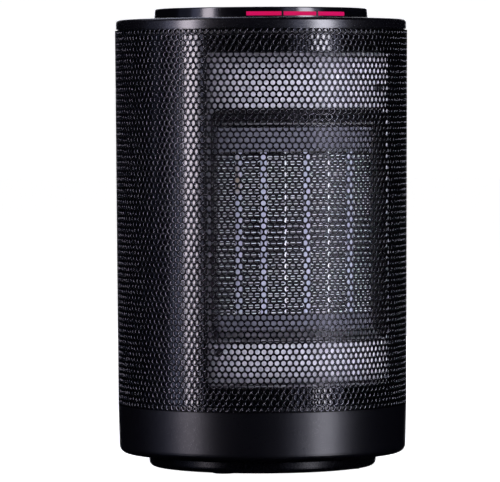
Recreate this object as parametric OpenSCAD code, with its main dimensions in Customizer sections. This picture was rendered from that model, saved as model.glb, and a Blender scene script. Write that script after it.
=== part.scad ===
// Cylindrical ceramic (PTC) fan heater on a swinging foot.
// Millimetres, +Z up. The origin is the centre of the surface that the heater stands on,
// and the warm air leaves towards -Y.

/* [Overall] */
// Outer radius of the perforated sleeve at its top
body_r = 80; // [66:1:96]
// Height of the perforated sleeve
sleeve_h = 204.3; // [169:0.1:244]
// Radius that the sleeve loses from its top to its bottom
sleeve_taper = 1; // [0:0.1:2]
// Sheet thickness of the sleeve
sleeve_t = 1; // [0.8:0.1:1.5]

/* [Foot] */
// Radius of the foot that stays still
foot_r = 62.2; // [52:0.1:64]
// Height of the top face of the foot
foot_h = 7; // [6:0.1:9]
// Wall thickness of the foot
foot_wall = 2.4; // [2:0.1:3]
// Radius of the rounded lower edge of the foot
foot_edge_r = 3; // [1:0.1:4]
// Thickness of the rubber pads
pad_t = 1; // [0.8:0.1:2]
// Radius of one rubber pad
pad_r = 6; // [4:0.5:8]
// Thickness of the steel ballast plate
plate_t = 2; // [1:0.1:2.4]

/* [Pivot and swing drive] */
// Radius of the pivot post on the foot
post_r = 10; // [8:0.1:12]
// Wall thickness of the swivel bush
bush_t = 2; // [1.5:0.1:3]
// Gap between the foot and the skirt, filled by the thrust washer
washer_t = 1; // [0.8:0.1:2]
// Gear module
gear_module = 1; // [0.8:0.1:1.1]
// Teeth on the gear that is fixed to the foot
sun_teeth = 34; // [34:2:38]
// Teeth on the motor pinion
pinion_teeth = 16; // [16:4:20]
// Face width of both gears
gear_w = 5; // [4:0.5:6]
// Radius of the swing motor
swing_motor_r = 17.5; // [15:0.5:20]
// Height of the swing motor
swing_motor_h = 13; // [11:0.5:13.4]

/* [Skirt] */
// Height of the plain skirt
skirt_h = 26.3; // [26:0.1:40]
// Wall thickness of the skirt
skirt_wall = 2.5; // [2:0.1:3]
// Thickness of the skirt's floor
floor_t = 2.2; // [2:0.1:3]
// Radius of the skirt's rounded lower edge
skirt_edge_r = 4; // [2:0.1:5]
// Radius that the skirt loses from its top to its bottom
skirt_taper = 0.6; // [0:0.1:1]
// Radius of the hole for the mains lead
cord_r = 3.5; // [3:0.1:4]

/* [Top] */
// Height of the dark groove between sleeve and cap
groove_h = 0.7; // [0.5:0.1:2]
// Height of the top cap
cap_h = 5.2; // [5:0.1:9]
// Wall thickness of the top cap
cap_wall = 2.2; // [1.8:0.1:3]
// Radius of the cap's rounded upper edge
cap_edge_r = 2; // [1:0.1:3]
// Radius of the round control head
head_r = 58.6; // [50:0.1:62]
// Height of the round control head
head_h = 5.9; // [5.9:0.1:9]
// Height of the indicator windows
lens_h = 2.2; // [2:0.1:2.4]
// Angle that one indicator window covers
lens_angle = 18.7; // [15:0.1:22]
// Angle of the rib between two indicator windows
lens_gap = 1; // [0.8:0.1:3]
// Travel of the three keys
key_travel = 1; // [0.5:0.1:1.2]

/* [Heating element] */
// Width of one corrugated fin column
fin_w = 10.1; // [8:0.1:11]
// Width of one flat tube that holds ceramic stones
tube_w = 4.2; // [3.5:0.1:5]
// Thickness of a divider plate between two fin columns
divider_t = 0.6; // [0.4:0.1:1]
// Depth of the fins along the air flow
core_depth = 16; // [12:0.5:18]
// Height of one full fold of a fin, across and back
fin_pitch = 3; // [2.4:0.1:4]
// Sheet thickness of a fin
fin_t = 0.25; // [0.2:0.05:0.4]
// Width of the funnel's sloping side walls
slope_w = 5.8; // [4:0.1:8]
// Depth of the funnel in front of the fins
recess_d = 7.8; // [6:0.1:10]

/* [Outlet window] */
// Plain shell below the window
window_low = 13.7; // [10:0.1:20]
// Plain shell above the window
window_high = 12.6; // [8:0.1:20]
// Reflector height below the funnel
reflector_low = 23; // [20:0.1:30]
// Reflector height above the funnel
reflector_high = 30.7; // [20:0.1:40]
// Width of the reflector beside the funnel
reflector_side = 2.4; // [2:0.1:6]

/* [Fan] */
// Radius of the fan blades
fan_r = 42; // [36:0.5:44]
// Number of blades
blade_count = 7; // [5:1:9]
// Radius of the fan motor
motor_r = 24; // [18:0.5:25]
// Length of the fan motor
motor_len = 22; // [16:0.5:24]
// Radius of the fan shaft
shaft_r = 1.6; // [1.5:0.1:2.5]

/* [Fits] */
// Radial clearance of a turning fit
run_fit = 0.05; // [0.02:0.01:0.1]
// Gap between pieces that are assembled by hand
slip_fit = 0.2; // [0.1:0.05:0.4]
// Gap around a piece that moves freely
free_gap = 0.35; // [0.3:0.05:0.6]
// Radial gap between perforated sleeve and inner shell
shell_gap = 2.7; // [2:0.1:5]
// Wall thickness of the inner shell
shell_wall = 2; // [1.5:0.1:2.5]

/* [Hidden] */

black_satin = "#1b1b1e";
black_gloss = "#0c0c0e";
sheet_black = "#141416";
silver = "#c9cbcf";
grey_metal = "#7d8084";
aluminium = "#b9bdc2";
steel = "#9a9da1";
brass = "#c8a24a";
white_resin = "#e6e4dc";
board_green = "#1f6b3a";
lamp_pink = "#f0146e";

// a little extra for cuts and joins
eps = 0.01;
// round faces are drawn with this many sides
round_n = 128;
small_n = 48;

// levels from the floor up
foot_z0 = 0.6;
foot_screw_at = foot_r * 0.6;
skirt_z0 = foot_h + washer_t;
floor_z1 = skirt_z0 + floor_t;
skirt_z1 = skirt_z0 + skirt_h;
sleeve_z0 = skirt_z1;
sleeve_z1 = sleeve_z0 + sleeve_h;
cap_z0 = sleeve_z1 + groove_h;
cap_z1 = cap_z0 + cap_h;
head_z1 = cap_z1 + head_h;

// radii of the stacked cylinders
sleeve_r0 = body_r - sleeve_taper;
sleeve_in0 = sleeve_r0 - sleeve_t;
sleeve_in1 = body_r - sleeve_t;
skirt_in = sleeve_r0 - skirt_wall;
shell_r = sleeve_in0 - shell_gap + 1;
shell_in = shell_r - shell_wall;
cap_r = body_r - 0.5;

// deck under the inner shell and bulkhead over it
deck_t = 2.3;
deck_z0 = sleeve_z0 - deck_t;
bulkhead_t = 2.5;
bulkhead_z0 = sleeve_z1 - 3.5;
bulkhead_z1 = bulkhead_z0 + bulkhead_t;
board_t = 1.6;
boss_r = 4;
pilot_r = 1.25;
clear_r = 1.7;
deck_boss_at = skirt_in - 8.5;
deck_boss_angles = [45, 135, 225, 315];
foot_screw_angles = [30, 150, 270];
shell_boss_at = shell_in - boss_r + 1;
shell_boss_angles = [38, 142, 207, 333];
boss_len = 16;

// heating core, counted from -X to +X: 0 fin column, 1 flat tube, 2 divider plate
columns = [0, 1, 0, 1, 0, 2, 0, 1, 0, 2, 0, 1, 0];
function column_w(kind) = kind == 0 ? fin_w : (kind == 1 ? tube_w : divider_t);
function widths_before(n) = n == 0 ? 0 : column_w(columns[n - 1]) + widths_before(n - 1);
core_w = widths_before(len(columns));
core_half = core_w / 2;
funnel_half = core_half + slope_w;

// window, reflector and funnel
window_z0 = sleeve_z0 + window_low;
window_z1 = sleeve_z1 - window_high;
window_half = funnel_half + reflector_side + 0.3;
plane_y = -sqrt(shell_r * shell_r - window_half * window_half);
sheet_t = 0.8;
funnel_z0 = window_z0 + reflector_low;
funnel_z1 = window_z1 - reflector_high;
funnel_lip = 2.5;
funnel_front = plane_y - funnel_lip;
throat_y = funnel_front + recess_d;
bezel_t = 0.85;
core_front = throat_y + bezel_t + 0.1;
slope_low = 6;
slope_high = 9.7;
throat_z0 = funnel_z0 + slope_low;
throat_z1 = funnel_z1 - slope_high;
core_z0 = throat_z0 + 9;
core_z1 = throat_z1 - 13.1;
core_h = core_z1 - core_z0;
core_back = core_front + core_depth;
corner_r = 5;
clamp_h = 7;
reflector_half = window_half - 0.5;
screw_x = funnel_half - 3.35;
screw_high = funnel_z1 + 11.7;
screw_low = funnel_z0 - 5.2;
screw_spots = [[screw_x, screw_high], [-screw_x, screw_low]];

// fan behind the core
fan_z = (throat_z0 + throat_z1) / 2;
duct_wall = 2;
duct_half = fan_r + 8;
duct_half_h = max(fan_r + 8, (throat_z1 - throat_z0) / 2 + duct_wall);
box_half = core_half + 3;
duct_y0 = core_back + 2;
orifice_y = duct_y0 + 18.5;
ring_len = 16;
ring_y1 = orifice_y + ring_len;
arm_t = 3;
motor_y0 = ring_y1 + arm_t;
motor_y1 = motor_y0 + motor_len;
duct_screw_x = duct_half + 0.6;
duct_screw_z = [throat_z0 + 14, throat_z1 - 14];
hub_r = 13;
blade_y0 = orifice_y + 2;
blade_len = 12;

// swing drive
gear_z0 = floor_z1 + 0.8;
sun_pitch_r = gear_module * sun_teeth / 2;
pinion_pitch_r = gear_module * pinion_teeth / 2;
gear_centres = sun_pitch_r + pinion_pitch_r;
pressure_angle = 22.5;
backlash = 0.2;
hex_r = post_r * 0.62;
swing_motor_z0 = gear_z0 + gear_w + 1.5;
ear_at = swing_motor_r + 4;
ear_t = 0.8;
swing_shaft_r = 2.5;

// power board and what is soldered to it, in front of the pivot
board_post_x = 28;
board_post_y1 = -sun_pitch_r - 9;
board_post_y0 = board_post_y1 - 26;
power_z0 = floor_z1 + 3.8;
power_z1 = power_z0 + board_t;
power_top = deck_z0 - 1;

// cord inlet
cord_z = (floor_z1 + deck_z0) / 2;
gland_r = cord_r + 2.4;
gland_flange_r = gland_r + 2.2;
gland_y1 = body_r - 0.1;
gland_len = 13;

// top
panel_t = 2;
opening_r = head_r - 7.6;
board_r = opening_r - 2;
board_z1 = cap_z1 - 1.4;
board_screw_angles = [60, 180, 325];
head_wall = 2.2;
cap_screw_at = opening_r + 3.5;
cap_screw_angles = [30, 150, 222, 318];
head_screw_angles = [90, 195, 345];
lens_step = lens_angle + lens_gap;
lens_z0 = cap_z1 + 1.2;
key_r0 = head_r - 30.6;
key_r1 = head_r - 15.6;
key_flange = 1.2;
key_flange_t = 1.2;
key_stops = [-lens_step, 0, lens_step];
key_angle = lens_angle - 2;
switch_h = head_z1 - panel_t - 0.05 - key_flange_t - key_travel - 0.2 - board_z1;

// points along an arc about (cx, cy)
function arc_points(cx, cy, r, a0, a1, steps = 6) =
  [for (i = [0:steps]) let (a = a0 + (a1 - a0) * i / steps) [cx + r * cos(a), cy + r * sin(a)]];

// point on a circle in the plan view
function polar(r, a) = [r * cos(a), r * sin(a)];

// involute function, in degrees
function involute(a) = tan(a) * 180 / PI - a;

// half the angle that a tooth takes up at radius r
function tooth_half(z, r) =
  let (rp = gear_module * z / 2, rb = rp * cos(pressure_angle))
  90 / z + involute(pressure_angle) - involute(acos(min(1, rb / r))) - backlash / (4 * rp) * 180 / PI;

// outline of a spur gear with involute flanks and radial roots
function gear_outline(z) =
  let (
    rp = gear_module * z / 2,
    rb = rp * cos(pressure_angle),
    ra = rp + 0.9 * gear_module,
    rf = rp - 1.2 * gear_module,
    r0 = max(rb, rf) + eps,
    steps = 4
  )
  [for (k = [0:z - 1]) let (mid = 360 * k / z)
    each concat(
      [polar(rf, mid - tooth_half(z, r0))],
      [for (i = [0:steps]) let (r = r0 + (ra - r0) * i / steps) polar(r, mid - tooth_half(z, r))],
      [for (i = [steps:-1:0]) let (r = r0 + (ra - r0) * i / steps) polar(r, mid + tooth_half(z, r))],
      [polar(rf, mid + tooth_half(z, r0))]
    )
  ];

// tube between two radii
module ring(r_out, r_in, h, n = round_n) {
  difference() {
    cylinder(r = r_out, h = h, $fn = n);
    translate([0, 0, -1]) cylinder(r = r_in, h = h + 2, $fn = n);
  }
}

// ring sector about Z, centred on angle mid
module sector(r_in, r_out, h, mid, sweep) {
  rotate([0, 0, mid - sweep / 2])
    rotate_extrude(angle = sweep, $fn = round_n)
      translate([r_in, 0]) square([r_out - r_in, h]);
}

// cylinder along +Y from y0 to y1, about x = cx and z = cz
module rod_y(r, y0, y1, cx = 0, cz = 0, n = small_n) {
  translate([cx, y0, cz]) rotate([-90, 0, 0]) cylinder(r = r, h = y1 - y0, $fn = n);
}

// rounded rectangle in the XZ plane, pushed along Y
module panel_y(half_w, z0, z1, r, y0, y1) {
  for (s = [-1, 1]) {
    rod_y(r, y0, y1, s * (half_w - r), z0 + r);
    rod_y(r, y0, y1, s * (half_w - r), z1 - r);
  }
  translate([-half_w + r, y0, z0]) cube([2 * (half_w - r), y1 - y0, z1 - z0]);
  translate([-half_w, y0, z0 + r]) cube([2 * half_w, y1 - y0, z1 - z0 - 2 * r]);
}

// box given by its two corners
module block(a, b) {
  translate(a) cube(b - a);
}

// pan-head screw that points down: the head sits on z = 0
module screw_down(shank_r, len, head_r = 2.8, head_h = 1.6) {
  translate([0, 0, -len]) cylinder(r = shank_r, h = len + eps, $fn = 32);
  difference() {
    cylinder(r = head_r, h = head_h, $fn = 32);
    for (a = [0, 90]) rotate([0, 0, a])
      block([-head_r * 0.6, -0.3, head_h - 0.7], [head_r * 0.6, 0.3, head_h + 1]);
  }
}

// pan-head screw that points along +Y: the head's underside is at y = 0
module screw_y(shank_r, len, head_r = 2.8, head_h = 1.6) {
  rotate([90, 0, 0]) screw_down(shank_r, len, head_r, head_h);
}

// ---------- foot, which stays still ----------

module foot() {
  color(black_gloss) difference() {
    union() {
      difference() {
        rotate_extrude($fn = round_n) polygon(concat(
          [[0, foot_z0]],
          arc_points(foot_r - foot_edge_r, foot_z0 + foot_edge_r, foot_edge_r, -90, 0),
          arc_points(foot_r - 0.6, foot_h - 0.6, 0.6, 0, 90, 3),
          [[0, foot_h]]
        ));
        translate([0, 0, foot_z0 - 1])
          cylinder(r = foot_r - foot_edge_r, h = foot_h - foot_wall - foot_z0 + 1, $fn = round_n);
      }
      for (a = foot_screw_angles) translate(polar(foot_screw_at, a))
        translate([0, 0, pad_t + plate_t])
          cylinder(r = boss_r, h = foot_h - foot_wall - pad_t - plate_t + eps, $fn = small_n);
      translate([0, 0, pad_t + plate_t]) cylinder(r = post_r, h = gear_z0 - pad_t - plate_t, $fn = round_n);
      translate([0, 0, gear_z0 - eps]) cylinder(r = hex_r, h = gear_w - 2 + eps, $fn = 6);
    }
    for (a = foot_screw_angles) translate(polar(foot_screw_at, a))
      translate([0, 0, pad_t]) cylinder(r = pilot_r, h = foot_h - 1 - pad_t, $fn = small_n);
    translate([0, 0, pad_t + plate_t + 1]) cylinder(r = 1.6, h = gear_z0 + gear_w, $fn = small_n);
  }
}

module foot_plate() {
  color(steel) difference() {
    translate([0, 0, pad_t]) cylinder(r = foot_r - foot_edge_r - slip_fit, h = plate_t, $fn = round_n);
    for (a = foot_screw_angles) translate(polar(foot_screw_at, a))
      cylinder(r = clear_r, h = foot_h, $fn = small_n);
  }
}

module foot_pads() {
  color("#2a2a2c") for (a = [45:90:315]) translate(polar(foot_r - foot_edge_r - pad_r - 1.5, a))
    cylinder(r = pad_r, h = pad_t, $fn = small_n);
}

module foot_screws() {
  color(steel) for (a = foot_screw_angles) translate(polar(foot_screw_at, a))
    translate([0, 0, pad_t - 0.01]) rotate([180, 0, 0]) screw_down(1.2, plate_t + 2, 3, 0.8);
}

module thrust_washer() {
  color(white_resin) translate([0, 0, foot_h])
    ring(post_r + bush_t + 14, post_r + bush_t + 0.5, washer_t - run_fit);
}

module sun_gear() {
  color(white_resin) translate([0, 0, gear_z0]) difference() {
    linear_extrude(height = gear_w) polygon(gear_outline(sun_teeth));
    translate([0, 0, -1]) cylinder(r = hex_r + 0.1, h = gear_w + 2, $fn = 6);
    translate([0, 0, gear_w - 2]) cylinder(r = hex_r + 2, h = 3, $fn = small_n);
  }
}

module pivot_screw() {
  color(steel) translate([0, 0, gear_z0 + gear_w - 2]) {
    ring(hex_r + 1.8, 2.2, 0.8, small_n);
    translate([0, 0, 0.8]) screw_down(1.55, 10, 3.6, 1.8);
  }
}

// ---------- swinging housing: skirt and drive ----------

module skirt() {
  low_r = sleeve_r0 - skirt_taper;
  spigot_r = sleeve_in0 - slip_fit;
  color(black_satin) difference() {
    union() {
      rotate_extrude($fn = round_n) polygon(concat(
        [[post_r + bush_t + 0.02, skirt_z0]],
        arc_points(low_r - skirt_edge_r, skirt_z0 + skirt_edge_r, skirt_edge_r, -90, 0),
        [[sleeve_r0, skirt_z1], [spigot_r, skirt_z1], [spigot_r, skirt_z1 + 2.5],
         [shell_r + 0.3, skirt_z1 + 2.5], [shell_r + 0.3, skirt_z1 - 0.5], [skirt_in, skirt_z1 - 0.5],
         [skirt_in, floor_z1 + 2], [skirt_in - 2, floor_z1], [post_r + bush_t + 0.02, floor_z1]]
      ));
      for (a = deck_boss_angles) translate(polar(deck_boss_at, a))
        translate([0, 0, floor_z1 - eps]) cylinder(r = boss_r, h = deck_z0 - floor_z1 + eps, $fn = small_n);
      for (s = [-1, 1]) translate([s * ear_at, gear_centres, floor_z1 - eps])
        cylinder(r = 3, h = swing_motor_z0 - floor_z1 + eps, $fn = small_n);
      for (x = [-board_post_x, board_post_x], y = [board_post_y0, board_post_y1])
        translate([x, y, floor_z1 - eps]) cylinder(r = 3, h = power_z0 - floor_z1 + eps, $fn = small_n);
    }
    for (a = deck_boss_angles) translate(polar(deck_boss_at, a))
      translate([0, 0, floor_z1 + 2]) cylinder(r = pilot_r, h = deck_z0, $fn = small_n);
    for (s = [-1, 1]) translate([s * ear_at, gear_centres, floor_z1 + 1])
      cylinder(r = 1, h = skirt_h, $fn = small_n);
    rod_y(gland_r + slip_fit / 2, skirt_in - 6, body_r + 1, 0, cord_z);
  }
}

module swivel_bush() {
  color(white_resin) difference() {
    union() {
      translate([0, 0, skirt_z0]) cylinder(r = post_r + bush_t, h = floor_t, $fn = round_n);
      translate([0, 0, floor_z1]) cylinder(r = post_r + bush_t + 3, h = 0.6, $fn = round_n);
    }
    cylinder(r = post_r + run_fit, h = skirt_z1, $fn = round_n);
  }
}

module cord_gland() {
  flange_y0 = sleeve_r0 + 0.02;
  color(black_satin) difference() {
    union() {
      rod_y(gland_r, gland_y1 - gland_len, gland_y1, 0, cord_z);
      rod_y(gland_flange_r, flange_y0, gland_y1, 0, cord_z);
    }
    rod_y(cord_r, 0, body_r + 5, 0, cord_z);
  }
}

module gland_nut() {
  nut_y1 = sqrt(skirt_in * skirt_in - pow(gland_r + 3, 2)) - 0.1;
  color(black_satin) difference() {
    rod_y(gland_r + 3, nut_y1 - 4, nut_y1, 0, cord_z, 6);
    rod_y(gland_r + 0.05, 0, body_r, 0, cord_z);
  }
}

module swing_motor() {
  color(steel) translate([0, gear_centres, swing_motor_z0]) difference() {
    union() {
      cylinder(r = swing_motor_r, h = swing_motor_h, $fn = 96);
      for (s = [-1, 1]) translate([s * ear_at, 0, 0]) cylinder(r = 3.4, h = ear_t, $fn = small_n);
      block([-ear_at, -3.4, 0], [ear_at, 3.4, ear_t]);
      block([-7, swing_motor_r - 1, 2], [7, swing_motor_r + 3.5, swing_motor_h - 2]);
    }
    translate([0, 0, -1]) cylinder(r = swing_shaft_r + run_fit, h = swing_motor_h - 1, $fn = small_n);
    for (s = [-1, 1]) translate([s * ear_at, 0, -1]) cylinder(r = clear_r, h = 4, $fn = small_n);
  }
}

module swing_motor_screws() {
  color(steel) for (s = [-1, 1]) translate([s * ear_at, gear_centres, swing_motor_z0 + ear_t])
    screw_down(0.95, 6, 2.6, 1.4);
}

module power_board() {
  color(board_green) difference() {
    block([-board_post_x - 5, board_post_y0 - 5, power_z0],
      [board_post_x + 5, board_post_y1 + 5, power_z1]);
    for (x = [-board_post_x, board_post_x], y = [board_post_y0, board_post_y1])
      translate([x, y, 0]) cylinder(r = clear_r, h = 40, $fn = small_n);
  }
}

module relays() {
  relay_h = min(12, power_top - power_z1);
  color("#1f3f7a") for (x = [-19, 0]) translate([x - 7.5, board_post_y0 + 4, power_z1])
    cube([15, 19, relay_h]);
}

module terminal_block() {
  color("#2d7a4f") difference() {
    translate([13, board_post_y0 + 2, power_z1]) cube([10, 22, 9]);
    for (i = [0:2]) translate([18, board_post_y0 + 6 + 7 * i, power_z1 + 4])
      cylinder(r = 2, h = 9, $fn = small_n);
  }
}

module tilt_switch() {
  color("#d8d8d4") translate([-board_post_x - 12.5, gear_centres - 6, floor_z1]) cube([11, 13, 14]);
}

module lower_deck() {
  color(black_satin) difference() {
    translate([0, 0, deck_z0]) cylinder(r = min(shell_r, skirt_in - 0.2), h = deck_t, $fn = round_n);
    translate([0, 0, deck_z0 - 1]) cylinder(r = 12, h = deck_t + 2, $fn = small_n);
    for (a = deck_boss_angles) translate(polar(deck_boss_at, a))
      translate([0, 0, deck_z0 - 1]) cylinder(r = clear_r, h = deck_t + 2, $fn = small_n);
    for (a = shell_boss_angles) translate(polar(shell_boss_at, a))
      translate([0, 0, deck_z0 - 1]) cylinder(r = clear_r, h = deck_t + 2, $fn = small_n);
  }
}

module deck_screws() {
  color(steel) for (a = deck_boss_angles) translate(polar(deck_boss_at, a))
    translate([0, 0, sleeve_z0]) screw_down(1.2, 12);
}

// ---------- inner shell, sleeve and top ----------

module shell_half(front) {
  side = front ? -1 : 1;
  split_gap = 0.1;
  difference() {
    union() {
      translate([0, 0, sleeve_z0]) ring(shell_r, shell_in, bulkhead_z0 - sleeve_z0);
      for (a = shell_boss_angles) translate(polar(shell_boss_at, a)) {
        translate([0, 0, sleeve_z0]) cylinder(r = boss_r, h = boss_len, $fn = small_n);
        translate([0, 0, bulkhead_z0 - boss_len]) cylinder(r = boss_r, h = boss_len, $fn = small_n);
      }
    }
    for (a = shell_boss_angles) translate(polar(shell_boss_at, a)) {
      translate([0, 0, sleeve_z0 - 1]) cylinder(r = pilot_r, h = boss_len - 1, $fn = small_n);
      translate([0, 0, bulkhead_z0 - boss_len + 2]) cylinder(r = pilot_r, h = boss_len, $fn = small_n);
    }
    translate([-body_r, side > 0 ? -2 * body_r + split_gap : -split_gap, 0])
      cube([2 * body_r, 2 * body_r, head_z1]);
  }
}

module inner_shell_front() {
  shelf_t = 1.6;
  color(black_gloss) {
    difference() {
      shell_half(true);
      block([-window_half, -body_r, window_z0], [window_half, 0, window_z1]);
    }
    for (z = [window_z0 - shelf_t, window_z1]) intersection() {
      translate([0, 0, z]) cylinder(r = shell_in + 0.5, h = shelf_t, $fn = round_n);
      block([-body_r, -body_r, z], [body_r, plane_y + 1.5, z + shelf_t]);
    }
  }
}

module inner_shell_rear() {
  slot_h = 5;
  slot_step = 8.5;
  slot_w = 24;
  rows = floor((bulkhead_z0 - sleeve_z0 - 60) / slot_step);
  first_z = (bulkhead_z0 + sleeve_z0 - rows * slot_step + slot_step - slot_h) / 2;
  color(black_gloss) difference() {
    shell_half(false);
    for (i = [0:rows - 1], x = [-1, 0, 1])
      block([x * (slot_w + 4) - slot_w / 2, shell_in * 0.5, first_z + i * slot_step],
            [x * (slot_w + 4) + slot_w / 2, body_r, first_z + i * slot_step + slot_h]);
  }
}

module shell_screws() {
  color(steel) for (a = shell_boss_angles) translate(polar(shell_boss_at, a))
    translate([0, 0, deck_z0]) rotate([180, 0, 0]) screw_down(1.2, 12);
}

module sleeve() {
  color(sheet_black) rotate_extrude($fn = round_n) polygon([
    [sleeve_in0, sleeve_z0], [sleeve_r0, sleeve_z0], [body_r, sleeve_z1], [sleeve_in1, sleeve_z1]
  ]);
}

module top_bulkhead() {
  color(black_satin) difference() {
    union() {
      translate([0, 0, bulkhead_z0]) cylinder(r = shell_r, h = bulkhead_t, $fn = round_n);
      for (a = cap_screw_angles) translate(polar(cap_screw_at, a))
        translate([0, 0, bulkhead_z1 - eps])
          cylinder(r = 3.2, h = cap_z1 - cap_wall - bulkhead_z1 + eps, $fn = small_n);
      for (a = board_screw_angles) translate(polar(board_r - 4, a))
        translate([0, 0, bulkhead_z1 - eps])
          cylinder(r = 3, h = board_z1 - board_t - bulkhead_z1 + eps, $fn = small_n);
    }
    translate([0, 0, bulkhead_z0 - 1]) cylinder(r = 10, h = bulkhead_t + 2, $fn = small_n);
    for (a = cap_screw_angles) translate(polar(cap_screw_at, a))
      translate([0, 0, bulkhead_z0 + 0.8]) cylinder(r = pilot_r, h = 20, $fn = small_n);
    for (a = board_screw_angles) translate(polar(board_r - 4, a))
      translate([0, 0, bulkhead_z0 + 0.8]) cylinder(r = pilot_r, h = 20, $fn = small_n);
    for (a = shell_boss_angles) translate(polar(shell_boss_at, a))
      translate([0, 0, bulkhead_z0 - 1]) cylinder(r = clear_r, h = bulkhead_t + 2, $fn = small_n);
  }
}

module bulkhead_screws() {
  color(steel) for (a = shell_boss_angles) translate(polar(shell_boss_at, a))
    translate([0, 0, bulkhead_z1]) screw_down(1.2, 12);
}

module top_cap() {
  spigot_r = sleeve_in1 - slip_fit - 0.2;
  color(black_satin) difference() {
    rotate_extrude($fn = round_n) polygon(concat(
      [[opening_r, cap_z1 - cap_wall], [cap_r - cap_wall, cap_z1 - cap_wall],
        [cap_r - cap_wall, cap_z0 + 1],
       [shell_r + 0.4, cap_z0], [shell_r + 0.4, cap_z0 - 2.2], [spigot_r, cap_z0 - 2.2],
         [spigot_r, cap_z0], [cap_r, cap_z0]],
      arc_points(cap_r - cap_edge_r, cap_z1 - cap_edge_r, cap_edge_r, 0, 90),
      [[opening_r, cap_z1]]
    ));
    for (a = cap_screw_angles) translate(polar(cap_screw_at, a)) {
      cylinder(r = clear_r, h = head_z1, $fn = small_n);
      translate([0, 0, cap_z1 - 1.2]) cylinder(r = 2.9, h = 3, $fn = small_n);
    }
    for (a = head_screw_angles) translate(polar(cap_screw_at, a))
      cylinder(r = clear_r, h = head_z1, $fn = small_n);
  }
}

module cap_screws() {
  color(steel) for (a = cap_screw_angles) translate(polar(cap_screw_at, a))
    translate([0, 0, cap_z1 - 1.2]) screw_down(1.2, 5, 2.7, 1.1);
}

module control_head() {
  top_r = head_r - 0.4;
  top_edge_r = 0.8;
  color(black_satin) difference() {
    union() {
      difference() {
        rotate_extrude($fn = round_n) polygon(concat(
          [[0, cap_z1], [head_r - 0.8, cap_z1], [head_r - 0.8, cap_z1 + 0.5], [head_r, cap_z1 + 0.5]],
          arc_points(top_r - top_edge_r, head_z1 - top_edge_r, top_edge_r, 0, 90, 4),
          [[0, head_z1]]
        ));
        translate([0, 0, cap_z1 - 1])
          cylinder(r = head_r - head_wall, h = head_h - panel_t + 1, $fn = round_n);
      }
      for (a = head_screw_angles) translate(polar(cap_screw_at - 1, a))
        translate([0, 0, cap_z1]) cylinder(r = 2.6, h = head_h - panel_t + eps, $fn = small_n);
    }
    for (a = head_screw_angles) translate(polar(cap_screw_at, a))
      translate([0, 0, cap_z1 - 1]) cylinder(r = pilot_r, h = head_h - 1, $fn = small_n);
    for (k = key_stops) {
      translate([0, 0, lens_z0]) sector(head_r - 6, head_r + 1, lens_h, -90 + k, lens_angle);
      translate([0, 0, head_z1 - panel_t - 1]) sector(key_r0, key_r1, panel_t + 2, -90 + k, key_angle);
    }
  }
}

module indicator_lenses() {
  color(lamp_pink) for (k = key_stops) {
    translate([0, 0, lens_z0 + 0.05])
      sector(head_r - head_wall - 0.5, head_r - 0.15, lens_h - 0.1, -90 + k, lens_angle - 0.2);
    translate([0, 0, lens_z0 - 0.7])
      sector(key_r1 + 2, head_r - head_wall - slip_fit, head_z1 - panel_t - lens_z0 + 0.6, -90 + k,
        lens_step - 0.4);
  }
}

module control_board() {
  color(board_green) difference() {
    translate([0, 0, board_z1 - board_t]) cylinder(r = board_r, h = board_t, $fn = round_n);
    translate([0, 0, board_z1 - board_t - 1]) cylinder(r = 6, h = board_t + 2, $fn = small_n);
    for (a = board_screw_angles) translate(polar(board_r - 4, a))
      translate([0, 0, board_z1 - board_t - 1]) cylinder(r = clear_r, h = board_t + 2, $fn = small_n);
  }
}

module board_screws() {
  color(steel) for (a = board_screw_angles) translate(polar(board_r - 4, a))
    translate([0, 0, board_z1]) screw_down(1.2, 4, 2.4, 1.2);
}

module indicator_lamps() {
  color("#f4f1ea") for (k = key_stops, d = [-6, 0, 6])
    rotate([0, 0, -90 + k + d]) translate([key_r1 + 2.6, -1.4, board_z1]) cube([2.6, 2.8, 1.4]);
}

module key_switches() {
  color("#3a3a3d") for (k = key_stops)
    rotate([0, 0, -90 + k]) translate([(key_r0 + key_r1) / 2 - 3, -3, board_z1]) cube([6, 6, switch_h]);
}

// key over one indicator window: a cap that stands a little proud and a flange that holds it in
module key_cap(k) {
  gap_angle = free_gap / key_r0 * 180 / PI * 2;
  flange_z1 = head_z1 - panel_t - 0.05;
  translate([0, 0, flange_z1 - key_flange_t])
    sector(key_r0 + free_gap, key_r1 - free_gap, head_z1 + 0.4 - flange_z1 + key_flange_t, -90 + k,
      key_angle - gap_angle);
  translate([0, 0, flange_z1 - key_flange_t])
    sector(key_r0 - key_flange, key_r1 + key_flange, key_flange_t, -90 + k, lens_step - 0.9);
}

module key_power() { color(black_satin) key_cap(key_stops[0]); }
module key_heat() { color(black_satin) key_cap(key_stops[1]); }
module key_swing() { color(black_satin) key_cap(key_stops[2]); }

// ---------- outlet: reflector, funnel and heating core ----------

// how far the funnel's wall stands off its throat at a depth y, for a wall that moves by slope in all
function flare(y, slope) = slope * (throat_y - y) / recess_d;

// funnel space seen from above: narrow at the throat, wide at the front
module funnel_plan(gap = 0) {
  y0 = funnel_front - 1;
  half0 = core_half + flare(y0, slope_w) - gap;
  half1 = core_half - gap;
  translate([0, 0, funnel_z0 - 10]) linear_extrude(height = funnel_z1 - funnel_z0 + 20)
    polygon([[-half1, throat_y + 1], [-half1, throat_y], [-half0, y0], [half0, y0], [half1, throat_y],
      [half1, throat_y + 1]]);
}

// pushes an outline drawn in Y and Z along the whole width
module across() {
  rotate([90, 0, 90]) translate([0, 0, -body_r]) linear_extrude(height = 2 * body_r) children();
}

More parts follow.
